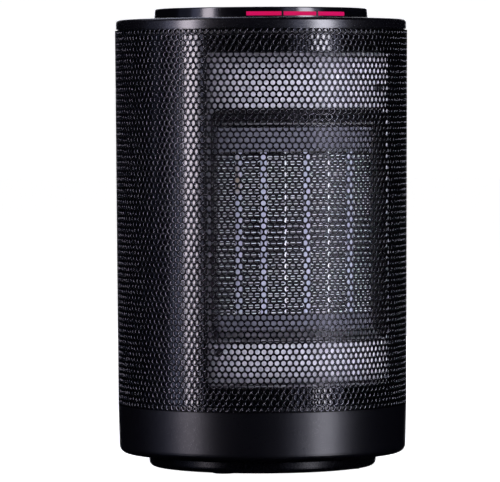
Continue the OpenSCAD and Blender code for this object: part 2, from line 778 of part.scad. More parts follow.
// mitred funnel space: wide and tall at the front, as wide as the core at the back
module funnel_space() {
  y0 = funnel_front - 1;
  low = throat_z0 - flare(y0, slope_low);
  high = throat_z1 + flare(y0, slope_high);
  intersection() {
    funnel_plan();
    across() polygon([[throat_y + 1, throat_z0], [throat_y, throat_z0], [y0, low], [y0, high],
      [throat_y, throat_z1], [throat_y + 1, throat_z1]]);
  }
}

module reflector_plate() {
  color(silver) difference() {
    panel_y(reflector_half, window_z0 + slip_fit, window_z1 - slip_fit, 2, plane_y, plane_y + sheet_t);
    panel_y(funnel_half + 0.1, funnel_z0 - 0.1, funnel_z1 + 0.1, corner_r, plane_y - 1, plane_y + 2);
    for (p = screw_spots) rod_y(clear_r, plane_y - 1, plane_y + 2, p[0], p[1]);
  }
}

// bright sheet that lies on the funnel's lower wall
module reflector_lip() {
  lip_t = 0.5;
  y0 = funnel_front + 0.5;
  y1 = throat_y - 0.1;
  z0 = throat_z0 - flare(y0, slope_low) + 0.02;
  z1 = throat_z0 - flare(y1, slope_low) + 0.02;
  color(silver) intersection() {
    funnel_plan(0.05);
    across() polygon([[y0, z0], [y1, z1], [y1, z1 + lip_t], [y0, z0 + lip_t]]);
  }
}

module reflector_screws() {
  color("#2b2b2e") for (p = screw_spots) translate([p[0], plane_y, p[1]]) screw_y(1.2, 5, 2.25, 1.2);
}

module element_funnel() {
  back_half = sqrt(shell_in * shell_in - pow(plane_y + sheet_t, 2)) - 0.4;
  flange_y1 = plane_y + sheet_t + 2.4;
  color(black_gloss) difference() {
    union() {
      panel_y(funnel_half, funnel_z0, funnel_z1, corner_r, funnel_front, throat_y);
      panel_y(back_half, funnel_z0 - 12, funnel_z1 + 18, 3, plane_y + sheet_t, flange_y1);
      block([-box_half, flange_y1 - 1, throat_z0 - 2], [box_half, duct_y0, throat_z1 + 2]);
      for (z = duct_screw_z)
        block([-duct_screw_x - 3, duct_y0 - 2, z - 4], [duct_screw_x + 3, duct_y0, z + 4]);
    }
    funnel_space();
    block([-box_half + 1.6, throat_y - eps, throat_z0 - 0.4],
      [box_half - 1.6, duct_y0 + 1, throat_z1 + 0.4]);
    for (s = [-1, 1], z = duct_screw_z) rod_y(clear_r, duct_y0 - 3, duct_y0 + 1, s * duct_screw_x, z);
    for (p = screw_spots) rod_y(pilot_r, plane_y, flange_y1 + 1, p[0], p[1]);
  }
}

module element_bezel() {
  overlap = 0.15;
  color(grey_metal) difference() {
    block([-box_half + 1.7, throat_y + 0.02, throat_z0 - 0.3],
      [box_half - 1.7, throat_y + bezel_t, throat_z1 + 0.3]);
    panel_y(core_half - overlap, core_z0 - 0.6, core_z1 + 0.6, 3, throat_y - 1, throat_y + 2);
  }
}

// one fin column: a zigzag strip between two side faces
module fin_column(x0) {
  folds = floor(core_h / fin_pitch) * 2;
  rise = core_h / folds;
  left = x0 + 0.05;
  right = x0 + fin_w - 0.05;
  side_a = [for (i = [0:folds]) [i % 2 == 0 ? left : right - fin_t, core_z0 + i * rise]];
  side_b = [for (i = [folds:-1:0]) [i % 2 == 0 ? left + fin_t : right, core_z0 + i * rise]];
  translate([0, core_back, 0]) rotate([90, 0, 0]) linear_extrude(height = core_depth)
    polygon(concat(side_a, side_b));
}

module heater_fins() {
  color(aluminium) for (i = [0:len(columns) - 1]) if (columns[i] == 0)
    fin_column(-core_half + widths_before(i));
}

module ptc_tubes() {
  wall = 0.7;
  color(aluminium) for (i = [0:len(columns) - 1]) if (columns[i] == 1) {
    x0 = -core_half + widths_before(i);
    difference() {
      block([x0, core_front, core_z0], [x0 + tube_w, core_back, core_z1]);
      block([x0 + wall, core_front + 1.2, core_z0 - 1], [x0 + tube_w - wall, core_back - 1.2, core_z1 + 1]);
    }
  }
}

module ptc_stones() {
  wall = 0.7;
  stone_h = 24;
  stones = floor((core_h - 4) / (stone_h + 1));
  color("#8d7f6d") for (i = [0:len(columns) - 1], k = [0:stones - 1]) if (columns[i] == 1) {
    x0 = -core_half + widths_before(i);
    block([x0 + wall + 0.35, core_front + 1.6, core_z0 + 4 + k * (stone_h + 1)],
          [x0 + tube_w - wall - 0.35, core_back - 1.6, core_z0 + 4 + k * (stone_h + 1) + stone_h]);
  }
}

module insulation_strips() {
  wall = 0.7;
  color("#d9c79a") for (i = [0:len(columns) - 1], s = [0, 1]) if (columns[i] == 1) {
    x0 = -core_half + widths_before(i);
    x = s == 0 ? x0 + wall + 0.05 : x0 + tube_w - wall - 0.3;
    block([x, core_front + 1.3, core_z0 + 1], [x + 0.25, core_back - 1.3, core_z1 - 1]);
  }
}

module divider_plates() {
  color(aluminium) for (i = [0:len(columns) - 1]) if (columns[i] == 2) {
    x0 = -core_half + widths_before(i);
    block([x0, core_front, core_z0], [x0 + divider_t, core_back, core_z1]);
  }
}

module end_clamps() {
  color("#26221e") for (z = [core_z0 - 0.2 - clamp_h, core_z1 + 0.2]) difference() {
    block([-box_half + 1.8, core_front + 1.1, z], [box_half - 1.8, core_back, z + clamp_h]);
    if (z > core_z0) for (i = [0:len(columns) - 1]) if (columns[i] == 1) {
      x0 = -core_half + widths_before(i);
      block([x0 + tube_w / 2 - 0.6, core_front + 5, z - 1],
        [x0 + tube_w / 2 + 0.6, core_front + 12, z + clamp_h + 1]);
    }
  }
}

module terminals() {
  color(brass) for (i = [0:len(columns) - 1]) if (columns[i] == 1) {
    x0 = -core_half + widths_before(i);
    block([x0 + tube_w / 2 - 0.4, core_front + 5.5, core_z1 + 0.1],
      [x0 + tube_w / 2 + 0.4, core_front + 11.5, core_z1 + clamp_h + 4]);
  }
}

module thermal_cutout() {
  top_z = throat_z1 + 2.05;
  color("#cfcabf") translate([24, core_front + 9, top_z]) {
    cylinder(r = 8, h = 5, $fn = small_n);
    translate([0, 0, 5 - eps]) cylinder(r = 6.2, h = 4, $fn = small_n);
    block([-12, -3.5, 0], [12, 3.5, 0.8]);
  }
}

// ---------- fan ----------

module fan_duct() {
  bore_r = fan_r + 1.5;
  color(black_satin) difference() {
    union() {
      block([-duct_half, duct_y0, fan_z - duct_half_h], [duct_half, orifice_y, fan_z + duct_half_h]);
      rod_y(bore_r + 2, orifice_y - eps, ring_y1 + arm_t + 0.5, 0, fan_z, round_n);
      for (s = [-1, 1], z = duct_screw_z) rod_y(3, duct_y0, duct_y0 + 7, s * duct_screw_x, z);
    }
    block([-duct_half + duct_wall, duct_y0 + 1.6, fan_z - duct_half_h + duct_wall],
          [duct_half - duct_wall, orifice_y - 2, fan_z + duct_half_h - duct_wall]);
    block([-box_half + 1.6, duct_y0 - 1, throat_z0 - 0.4], [box_half - 1.6, duct_y0 + 3, throat_z1 + 0.4]);
    difference() {
      rod_y(bore_r, orifice_y - 4, ring_y1 + arm_t + 1, 0, fan_z, round_n);
      // three arms and the hub plate that carry the motor
      for (a = [30, 150, 270]) translate([0, ring_y1 + arm_t, fan_z]) rotate([90, 0, 0]) rotate([0, 0, a])
        block([shaft_r + 6, -4, 0], [bore_r + 1, 4, arm_t]);
      rod_y(motor_r - 4, ring_y1, ring_y1 + arm_t, 0, fan_z, round_n);
    }
    rod_y(5.5, ring_y1 - 1, ring_y1 + arm_t + 1, 0, fan_z);
    for (s = [-1, 1], z = duct_screw_z) rod_y(pilot_r, duct_y0 - 1, duct_y0 + 6, s * duct_screw_x, z);
    for (a = [30, 150, 270]) rod_y(clear_r, ring_y1 - 1, ring_y1 + arm_t + 1,
                                   (motor_r - 8) * cos(a), fan_z + (motor_r - 8) * sin(a));
  }
}

module duct_screws() {
  color(steel) for (s = [-1, 1], z = duct_screw_z)
    translate([s * duct_screw_x, duct_y0 - 2, z]) screw_y(1.2, 6, 2.2, 1.2);
}

module fan_motor() {
  color(steel) difference() {
    union() {
      rod_y(motor_r, motor_y0, motor_y1, 0, fan_z, round_n);
      rod_y(5, ring_y1 + 0.4, motor_y0 + eps, 0, fan_z);
      rod_y(6, motor_y1 - eps, motor_y1 + 2, 0, fan_z);
    }
    rod_y(shaft_r + run_fit, ring_y1, motor_y1 - 3, 0, fan_z);
    for (a = [30, 150, 270]) rod_y(pilot_r, motor_y0 - 1, motor_y0 + 6,
                                   (motor_r - 8) * cos(a), fan_z + (motor_r - 8) * sin(a));
  }
}

module motor_screws() {
  color(steel) for (a = [30, 150, 270])
    translate([(motor_r - 8) * cos(a), ring_y1 - 0.01, fan_z + (motor_r - 8) * sin(a)])
      screw_y(1.2, 7, 2.6, 1.2);
}

module impeller() {
  pitch = 38;
  color("#3b3d42") difference() {
    union() {
      rod_y(hub_r, blade_y0, blade_y0 + blade_len, 0, fan_z, 96);
      intersection() {
        rod_y(fan_r, blade_y0, blade_y0 + blade_len, 0, fan_z, round_n);
        translate([0, blade_y0 + blade_len / 2, fan_z]) for (i = [0:blade_count - 1])
          rotate([0, i * 360 / blade_count, 0])
          translate([hub_r - 1, 0, 0]) rotate([pitch, 0, 0]) translate([0, -0.8, -14])
            cube([fan_r, 1.6, 28]);
      }
    }
    rod_y(hub_r - 2, blade_y0 + 2, blade_y0 + blade_len + 1, 0, fan_z, 96);
    rod_y(shaft_r + 0.02, blade_y0 - 1, blade_y0 + 4, 0, fan_z);
  }
}

module fan_shaft() {
  color(steel) rod_y(shaft_r, blade_y0 - 4, motor_y1 - 3.2, 0, fan_z);
}

module hub_nut() {
  color(brass) difference() {
    rod_y(3.6, blade_y0 - 3, blade_y0 - 0.05, 0, fan_z, 6);
    rod_y(shaft_r + 0.02, blade_y0 - 4, blade_y0 + 1, 0, fan_z);
  }
}

// ---------- swing pinion ----------

module swing_pinion() {
  color(white_resin) translate([0, gear_centres, gear_z0]) difference() {
    linear_extrude(height = gear_w) polygon(gear_outline(pinion_teeth));
    translate([0, 0, -1]) cylinder(r = swing_shaft_r + 0.02, h = gear_w + 2, $fn = small_n);
  }
}

module swing_shaft() {
  color(steel) translate([0, gear_centres, gear_z0])
    cylinder(r = swing_shaft_r, h = gear_w + 1.5 + swing_motor_h - 3, $fn = small_n);
}

// ---------- every piece ----------

foot();
foot_plate();
foot_pads();
foot_screws();
thrust_washer();
sun_gear();
pivot_screw();
skirt();
swivel_bush();
cord_gland();
gland_nut();
swing_motor();
swing_motor_screws();
power_board();
relays();
terminal_block();
tilt_switch();
lower_deck();
deck_screws();
inner_shell_front();
inner_shell_rear();
shell_screws();
sleeve();
top_bulkhead();
bulkhead_screws();
top_cap();
cap_screws();
control_head();
indicator_lenses();
control_board();
indicator_lamps();
key_switches();
board_screws();
reflector_plate();
reflector_lip();
reflector_screws();
element_funnel();
element_bezel();
heater_fins();
ptc_tubes();
ptc_stones();
insulation_strips();
divider_plates();
end_clamps();
terminals();
thermal_cutout();
fan_duct();
duct_screws();
fan_motor();
motor_screws();
impeller();
fan_shaft();
hub_nut();
swing_pinion();
swing_shaft();
key_power();
key_heat();
key_swing();
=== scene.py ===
import math

import bmesh
import bpy
import numpy as np
from mathutils import Matrix, Vector


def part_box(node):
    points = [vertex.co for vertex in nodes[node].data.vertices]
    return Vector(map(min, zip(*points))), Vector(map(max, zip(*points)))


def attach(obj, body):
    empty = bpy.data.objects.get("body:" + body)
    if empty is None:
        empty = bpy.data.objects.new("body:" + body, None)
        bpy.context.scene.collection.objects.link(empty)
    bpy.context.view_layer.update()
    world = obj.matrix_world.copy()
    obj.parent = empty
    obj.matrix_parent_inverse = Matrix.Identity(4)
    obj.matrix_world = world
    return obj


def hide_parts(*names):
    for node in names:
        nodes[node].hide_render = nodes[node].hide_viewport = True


# ---- Room, camera and lights ----------------------------------------------------------
# A pale table in a white photo tent. One upright strip softbox stands far round to the
# left and one just right of the outlet, both inside a dimmer and wider glow. Weaker lights
# stand in front, above and behind.

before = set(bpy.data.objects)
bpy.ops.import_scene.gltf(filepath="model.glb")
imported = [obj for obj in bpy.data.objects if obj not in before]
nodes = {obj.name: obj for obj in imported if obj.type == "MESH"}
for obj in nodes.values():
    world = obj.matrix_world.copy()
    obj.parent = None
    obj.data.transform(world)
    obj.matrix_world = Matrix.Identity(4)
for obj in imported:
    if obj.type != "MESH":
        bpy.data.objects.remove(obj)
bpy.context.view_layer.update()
scene = bpy.context.scene
scene.view_settings.view_transform = "Standard"
mm = 0.001

camera_azimuth = -21.3
camera_distance = 2.344
camera_height = 0.199
pitch_down = 1.849
turned_left = 0.158
leaning = -0.22
focal_length = 307.9
sensor_width = 36


def round_axis(azimuth, distance, height):
    """Point at (distance sin a, -distance cos a, height). Azimuth a is 0 in front of the outlet."""
    a = math.radians(azimuth)
    return Vector((distance * math.sin(a), -distance * math.cos(a), height))


def turn(degrees, axis):
    """4x4 rotation by an angle in degrees about X, Y or Z."""
    return Matrix.Rotation(math.radians(degrees), 4, axis)


camera = bpy.data.objects.new("camera", bpy.data.cameras.new("camera"))
camera.data.sensor_width = sensor_width
camera.data.lens = focal_length
camera.matrix_world = (
    Matrix.Translation(round_axis(camera_azimuth, camera_distance, camera_height))
    @ turn(camera_azimuth + turned_left, "Z")
    @ turn(90 - pitch_down, "X")
    @ turn(leaning, "Z")
)
scene.collection.objects.link(camera)
scene.camera = camera


def linear(code):
    """sRGB hex to linear: ((c + 0.055) / 1.055) ^ 2.4 above 0.04045, and c / 12.92 below it."""
    c = np.array([int(code[i : i + 2], 16) for i in (1, 3, 5)]) / 255
    c = np.where(c > 0.04045, ((c + 0.055) / 1.055) ** 2.4, c / 12.92)
    return (*(float(v) for v in c), 1.0)


def softbox(name, azimuth, distance, height, wide, tall, watts, colour, tilt=0):
    """A rectangular area light that faces the heater's axis, tilted down by some degrees."""
    light = bpy.data.lights.new(name, "AREA")
    light.shape = "RECTANGLE"
    light.size = wide
    light.size_y = tall
    light.energy = watts
    light.color = linear(colour)[:3]
    lamp = bpy.data.objects.new(name, light)
    lamp.matrix_world = (
        Matrix.Translation(round_axis(azimuth, distance, height))
        @ turn(azimuth, "Z")
        @ turn(90 - tilt, "X")
    )
    lamp.visible_camera = False
    scene.collection.objects.link(lamp)


softbox("left_strip", -79, 1.0, 0.42, 0.22, 1.1, 10.5, "#fbf0fa")
softbox("left_haze", -84, 1.1, 0.3, 0.62, 1.2, 4.8, "#a8aed6")
softbox("left_fade", -95, 1.2, 0.3, 1.1, 1.2, 1.6, "#98a0cc")
softbox("right_strip", 27, 1.0, 0.2, 0.27, 1.1, 15.5, "#f4f2ff")
softbox("right_haze", 24, 1.1, 0.2, 0.85, 1.2, 6.5, "#b2b6da")
softbox("front_wash", camera_azimuth, 2.6, 0.4, 4.0, 1.6, 0.4, "#a0a8d4")
softbox("top_sheet", 190, 0.9, 1.5, 1.0, 1.0, 5.0, "#dfe2ff", 54)
softbox("back_strip", 180 + camera_azimuth, 1.3, 0.35, 0.7, 1.1, 5, "#f6f6ff")


def add(tree, kind, sockets=None, **settings):
    """Adds one shader node with its own settings. sockets maps an input's name or number to a
    value, or to another node's output, which is linked to it."""
    node = tree.nodes.new("ShaderNode" + kind)
    for name, value in settings.items():
        setattr(node, name, value)
    for name, value in (sockets or {}).items():
        if isinstance(value, bpy.types.NodeSocket):
            tree.links.new(value, node.inputs[name])
        else:
            node.inputs[name].default_value = value
    return node


def material(name, **values):
    """A new material whose Principled shader has these socket values, with _ for a space.
    Gives the material, its node tree, the shader and the Object coordinates."""
    made = bpy.data.materials.new(name)
    made.use_nodes = True
    tree = made.node_tree
    shader = tree.nodes["Principled BSDF"]
    for socket, value in values.items():
        shader.inputs[socket.replace("_", " ")].default_value = value
    return made, tree, shader, add(tree, "TexCoord").outputs["Object"]


def put_mesh(name, points, *face_sets):
    """A mesh object from an array of points and arrays of faces. Each array of faces holds
    faces with the same number of corners."""
    mesh = bpy.data.meshes.new(name)
    corners = np.concatenate([f.ravel() for f in face_sets]).astype(np.int32)
    sizes = np.concatenate([np.full(len(f), f.shape[1]) for f in face_sets])
    mesh.vertices.add(len(points))
    mesh.vertices.foreach_set("co", np.ascontiguousarray(points, np.float32).ravel())
    mesh.loops.add(len(corners))
    mesh.loops.foreach_set("vertex_index", corners)
    mesh.polygons.add(len(sizes))
    mesh.polygons.foreach_set("loop_start", (np.cumsum(sizes) - sizes).astype(np.int32))
    mesh.update(calc_edges=True)
    piece = bpy.data.objects.new(name, mesh)
    scene.collection.objects.link(piece)
    return piece


sides = 96
tent_r = 9.0
tent_low = -0.2
tent_shoulder = 4.0
tent_top = 8.0
tent_top_r = 4.0
table_z = -0.0002


def disc_points(radius, z):
    """Points at (radius cos t, radius sin t, z) for even steps of t, as many as there are sides."""
    t = np.linspace(0, 2 * math.pi, sides, endpoint=False)
    return np.stack([radius * np.cos(t), radius * np.sin(t), np.full(sides, z)], 1)


# The table and the tent are seen by the camera but leave the black gloss alone.
floor = put_mesh("floor", disc_points(tent_r, table_z), np.arange(sides)[None, :])
paint, tree, shader, place = material("matt_white_laminate", Roughness=0.9, Specular_IOR_Level=0.1)
shader.inputs["Base Color"].default_value = linear("#f4f4f4")
shader.inputs["Emission Color"].default_value = linear("#ffffff")
shader.inputs["Emission Strength"].default_value = 1.0
floor.data.materials.append(paint)

wall_foot = disc_points(tent_r, tent_low)
wall_top = disc_points(tent_r, tent_shoulder)
roof = disc_points(tent_top_r, tent_top)
step = np.arange(sides)
following = (step + 1) % sides
wall_quads = np.stack([step, step + sides, following + sides, following], 1)
tent = put_mesh(
    "tent",
    np.concatenate([wall_foot, wall_top, roof]),
    wall_quads,
    wall_quads + sides,
    2 * sides + step[None, ::-1],
)
cloth, tree, shader, place = material("white_tent_cloth", Roughness=1.0)
shader.inputs["Base Color"].default_value = linear("#ffffff")
shader.inputs["Emission Color"].default_value = linear("#ffffff")
shader.inputs["Emission Strength"].default_value = 1.0
tent.data.materials.append(cloth)
for stage_piece in (floor, tent):
    stage_piece.visible_glossy = False
    stage_piece.visible_diffuse = False
    stage_piece.visible_transmission = False

world = bpy.data.worlds.new("tent_glow")
world.use_nodes = True
backdrop = world.node_tree.nodes["Background"]
backdrop.inputs["Color"].default_value = linear("#7a80a8")
backdrop.inputs["Strength"].default_value = 0.004
scene.world = world

# ---- Perforated sleeve ----------------------------------------------------------------
# One sheet of mild steel, 1 mm thick, punched with round holes in a staggered pattern,
# rolled into a slight cone and coated in black enamel, which rounds the edge of each hole.
# The top edge is sheared just above a row of holes. It is made here as six panels.

sleeve_lo, sleeve_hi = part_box("sleeve")
sleeve_r1 = -sleeve_lo.y
sleeve_cone = 1.0 * mm
sheet = 1.0 * mm
hole_columns = 143
row_step = 3.04 * mm
hole_r = 1.31 * mm
edge_round = 0.17 * mm
top_margin = 1.5 * mm
seam_angle = 90.8
pitch = 2 * math.pi * (sleeve_r1 - sleeve_cone / 2) / hole_columns
hole_rows = int((sleeve_hi.z - top_margin - sleeve_lo.z - pitch / 2) / row_step)
panel_count = 6

# One hole as five rings of twelve points: cell edge, rim, bore, back of the bore and cell
# edge on the back. Cell edges lie on a lattice of pitch / 4 by row_step / 6.
lattice_u = np.array([2, 2, 1, 0, -1, -2, -2, -2, -1, 0, 1, 2])
lattice_z = np.array([0, 2, 3, 4, 3, 2, 0, -2, -3, -4, -3, -2])
spoke = np.radians(30 * np.arange(12))
z_code = 100000
z_shift = 10


def punched_panel(name, first, last):
    """Holes of the columns from first up to last. A point of hole (column, row) is at the angle
    (u / pitch) of a turn over the number of columns and at height z, where u = pitch times
    (column + half for an odd row) + du, and z = top - margin - row_step times row + dz. Its radius
    is the cone's radius at that height less the depth of its ring. The rim's normals turn from
    straight out of the sheet to straight across the hole, as round a real rolled edge."""
    row_count = hole_rows + 1
    column = np.repeat(np.arange(first, last), row_count)
    row = np.tile(np.arange(row_count), last - first)
    odd = row % 2
    across_key = (4 * column + 2 * odd)[:, None] + lattice_u
    key = across_key + z_code * (6 * row[:, None] - lattice_z + z_shift)
    edge_keys, edge_index = np.unique(key, return_inverse=True)
    edge_index = edge_index.reshape(key.shape)
    edge_u = (edge_keys % z_code) * pitch / 4
    steps_down = edge_keys // z_code - z_shift
    edge_z = sleeve_hi.z - top_margin - steps_down * row_step / 6
    edge_z = np.where(steps_down > 6 * hole_rows, sleeve_lo.z, edge_z)
    edge_z = np.where(steps_down < 0, sleeve_hi.z, edge_z)

    middle_u = (column + odd / 2) * pitch
    middle_z = sleeve_hi.z - top_margin - row * row_step
    rims = []
    for radius, depth in ((hole_r + edge_round, 0), (hole_r, edge_round), (hole_r, sheet)):
        rim_u = middle_u[:, None] + radius * np.cos(spoke)
        rim_z = middle_z[:, None] + radius * np.sin(spoke)
        rims.append((rim_u.ravel(), rim_z.ravel(), np.full(key.size, depth)))

    outer = (edge_u, edge_z, np.zeros(len(edge_u)))
    inner = (edge_u, edge_z, np.full(len(edge_u), sheet))
    u, z, depth = (np.concatenate(parts) for parts in zip(outer, *rims, inner))
    radius = sleeve_r1 - sleeve_cone * (sleeve_hi.z - z) / (sleeve_hi.z - sleeve_lo.z) - depth
    angle = 2 * math.pi * u / (pitch * hole_columns) + math.radians(seam_angle)
    points = np.stack([radius * np.cos(angle), radius * np.sin(angle), z], 1)
    outward = np.stack([np.cos(angle), np.sin(angle), 0 * angle], 1)
    rim = slice(len(edge_u) + key.size, len(edge_u) + 3 * key.size)
    spokes = np.tile(spoke, 2 * len(column))[:, None]
    across = np.stack([np.sin(angle[rim]), -np.cos(angle[rim]), 0 * angle[rim]], 1) * np.cos(spokes)
    normals = outward.copy()
    normals[rim] = across - np.sin(spokes) * np.array([0, 0, 1])
    normals[rim.stop :] *= -1

    own = np.arange(key.size).reshape(key.shape) + len(edge_u)
    back = len(edge_u) + 3 * key.size
    ring = np.stack([edge_index, own, own + key.size, own + 2 * key.size, edge_index + back], 1)
    ahead = np.roll(ring, -1, axis=2)
    quads = np.stack([ring[:, :-1], ahead[:, :-1], ahead[:, 1:], ring[:, 1:]], -1).reshape(-1, 4)

    # The outer edges of the front get a wall back to the same edges of the back.
    pairs = np.stack([ring[:, 0], ahead[:, 0]], -1).reshape(-1, 2)
    forward = pairs[:, 0] * len(points) + pairs[:, 1]
    free = pairs[~np.isin(forward, pairs[:, 1] * len(points) + pairs[:, 0])]
    walls = np.stack([free[:, 1], free[:, 0], free[:, 0] + back, free[:, 1] + back], 1)
    panel = put_mesh(name, points, quads, walls)
    bored = np.zeros(len(panel.data.polygons), np.int32)
    bored[: len(quads)] = np.tile(np.repeat([0, 1, 0, 0], 12), len(column))
    panel.data.shade_smooth()
    panel.data.normals_split_custom_set_from_vertices(normals)
    panel.data.materials.append(enamel)
    panel.data.materials.append(thin_enamel)
    panel.data.polygons.foreach_set("material_index", bored)
    return panel


# Black enamel on the flat of the sheet: matt and almost without sheen, with fine orange peel.
enamel, tree, shader, place = material("matt_black_stoved_enamel", IOR=1.45, Specular_IOR_Level=0.025)
peel = add(tree, "TexNoise", {"Vector": place, "Scale": 1 / (0.9 * mm), "Detail": 2.0})
shades = {0: peel.outputs["Fac"], 6: linear("#010101"), 7: linear("#020203")}
tint = add(tree, "Mix", shades, data_type="RGBA")
tree.links.new(tint.outputs[2], shader.inputs["Base Color"])
gloss = add(tree, "MapRange", {"Value": peel.outputs["Fac"], "To Min": 0.3, "To Max": 0.45})
tree.links.new(gloss.outputs["Result"], shader.inputs["Roughness"])
bump = add(tree, "Bump", {"Height": peel.outputs["Fac"], "Strength": 0.25, "Distance": 0.02 * mm})
tree.links.new(bump.outputs["Normal"], shader.inputs["Normal"])

# Over a hole's rounded edge the same enamel is rubbed thin and smooth, and a little of the
# steel shows through, so each hole carries a short sharp glint.
thin_enamel, tree, shader, place = material("rubbed_enamel_on_hole_edge", Metallic=1.0)
run = add(tree, "TexNoise", {"Vector": place, "Scale": 1 / (1.5 * mm)})
shades = {0: run.outputs["Fac"], 6: linear("#5a5a5e"), 7: linear("#7e7e84")}
tint = add(tree, "Mix", shades, data_type="RGBA")
tree.links.new(tint.outputs[2], shader.inputs["Base Color"])
gloss = add(tree, "MapRange", {"Value": run.outputs["Fac"], "To Min": 0.1, "To Max": 0.16})
tree.links.new(gloss.outputs["Result"], shader.inputs["Roughness"])

for number, part in enumerate(np.array_split(np.arange(hole_columns), panel_count)):
    panel = punched_panel(f"sleeve_panel_{number + 1}", part[0], part[-1] + 1)
    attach(panel, "housing")
    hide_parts("sleeve")

# ---- Inner shell ----------------------------------------------------------------------
# Two halves moulded in black ABS against a polished mould, screwed together behind the
# sleeve. The front half has the outlet window, the rear half the rows of inlet slots.


def dress(finish, *names):
    """Puts one material in every material slot of these CAD nodes."""
    for name in names:
        for slot in nodes[name].material_slots:
            slot.material = finish


def grain(tree, shader, place, size, colours, roughness, relief, detail=2.0):
    """Noise with grains of that size: it moves the colour between two hex colours and the
    roughness between two values, and stands up by relief. Gives the noise's output."""
    noise = add(tree, "TexNoise", {"Vector": place, "Scale": 1 / size, "Detail": detail})
    spread = add(tree, "MapRange", {"Value": noise.outputs["Fac"], "From Min": 0.3, "From Max": 0.7})
    level = spread.outputs["Result"]
    shades = {0: level, 6: linear(colours[0]), 7: linear(colours[1])}
    tint = add(tree, "Mix", shades, data_type="RGBA")
    tree.links.new(tint.outputs[2], shader.inputs["Base Color"])
    rough = add(tree, "MapRange", {"Value": level, "To Min": roughness[0], "To Max": roughness[1]})
    tree.links.new(rough.outputs["Result"], shader.inputs["Roughness"])
    bump = add(tree, "Bump", {"Height": level, "Strength": 0.5, "Distance": relief})
    tree.links.new(bump.outputs["Normal"], shader.inputs["Normal"])
    return level


# Polished-mould ABS: glossy, with a faint long ripple, so a strip light shows through the
# holes as a narrow column of pale discs.
gloss_abs, tree, shader, place = material("polished_black_abs", IOR=1.54)
grain(tree, shader, place, 14 * mm, ("#050507", "#08080a"), (0.09, 0.14), 0.05 * mm)
dress(gloss_abs, "inner_shell_front", "inner_shell_rear")

# ---- Reflector plate, lip and their screws --------------------------------------------
# Bright-rolled aluminium, 0.8 mm, blanked and pressed with a small rolled edge round the
# window and round the outline, and held to the funnel by two black pan-head screws.


def rounded(half, low, high, radius, depth, arc=7):
    """Ring of points of a rounded rectangle at y = depth, with x from -half to half and z from
    low to high. Each corner is a quarter circle of arc points: centre + radius (cos t, sin t)."""
    t = np.linspace(0, math.pi / 2, arc)
    t = np.concatenate([t + quarter * math.pi / 2 for quarter in range(4)])
    side = np.repeat([[1, 1], [-1, 1], [-1, 0], [1, 0]], arc, axis=0)
    x = side[:, 0] * (half - radius) + radius * np.cos(t)
    z = np.where(side[:, 1] == 1, high - radius, low + radius) + radius * np.sin(t)
    return np.stack([x, np.full(len(x), depth), z], 1)


def skin(rings, around=False):
    """Closed skin over a stack of rings with the same number of points: a quad from each pair
    of neighbours to the same pair on the next ring. around joins the last ring to the first,
    and otherwise both end rings are filled. Gives the points and the lists of faces."""
    count, size = rings.shape[:2]
    index = np.arange(count * size).reshape(count, size)
    here = index if around else index[:-1]
    there = np.roll(index, -1, 0) if around else index[1:]
    quads = np.stack([here, np.roll(here, -1, 1), np.roll(there, -1, 1), there], -1).reshape(-1, 4)
    caps = [] if around else [index[:1, ::-1], index[-1:]]
    return rings.reshape(-1, 3), [quads, *caps]


def build(name, skins, finish, body, replaced, crease=35, bevel=0.0, front_finish=None):
    """One object from several closed skins. Its normals are turned outward, faces that meet
    at less than the crease angle shade smoothly, and bevel rounds the sharper edges. The
    faces that look straight out of the outlet take front_finish if there is one."""
    points, faces, start = [], [], 0
    for some_points, some_faces in skins:
        points.append(some_points)
        faces += [f + start for f in some_faces]
        start += len(some_points)
    piece = put_mesh(name, np.concatenate(points), *faces)
    shape = bmesh.new()
    shape.from_mesh(piece.data)
    bmesh.ops.remove_doubles(shape, verts=shape.verts, dist=1e-7)
    bmesh.ops.recalc_face_normals(shape, faces=shape.faces)
    shape.to_mesh(piece.data)
    shape.free()
    if bevel:
        rounding = piece.modifiers.new("rounded_edges", "BEVEL")
        rounding.width = bevel
        rounding.segments = 2
        rounding.limit_method = "ANGLE"
        rounding.angle_limit = math.radians(crease)
        rounding.harden_normals = True
    piece.data.shade_smooth()
    piece.data.set_sharp_from_angle(angle=math.radians(crease))
    piece.data.materials.append(finish)
    if front_finish:
        piece.data.materials.append(front_finish)
        facing = np.empty(3 * len(piece.data.polygons), np.float32)
        piece.data.polygons.foreach_get("normal", facing)
        piece.data.polygons.foreach_set("material_index", (facing[1::3] < -0.9).astype(np.int32))
    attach(piece, body)
    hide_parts(*replaced)
    return piece


plate_lo, plate_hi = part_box("reflector_plate")
funnel_lo, funnel_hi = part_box("element_funnel")
core_lo, core_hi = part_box("heater_fins")
lip_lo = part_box("reflector_lip")[0]
bezel_lo, bezel_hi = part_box("element_bezel")
core_slack = 0.05 * mm
funnel_flare = 5.8 * mm
mouth_h = 124.3 * mm
lip_lap = 0.4 * mm
plate_corner = 2 * mm
mouth_corner = 5 * mm
mouth_slack = 0.1 * mm
roll = 0.45 * mm
roll_middle = 0.15 * mm
core_half = core_hi.x + core_slack
funnel_half = core_half + funnel_flare
mouth_z0 = lip_lo.z - lip_lap
mouth_z1 = mouth_z0 + mouth_h

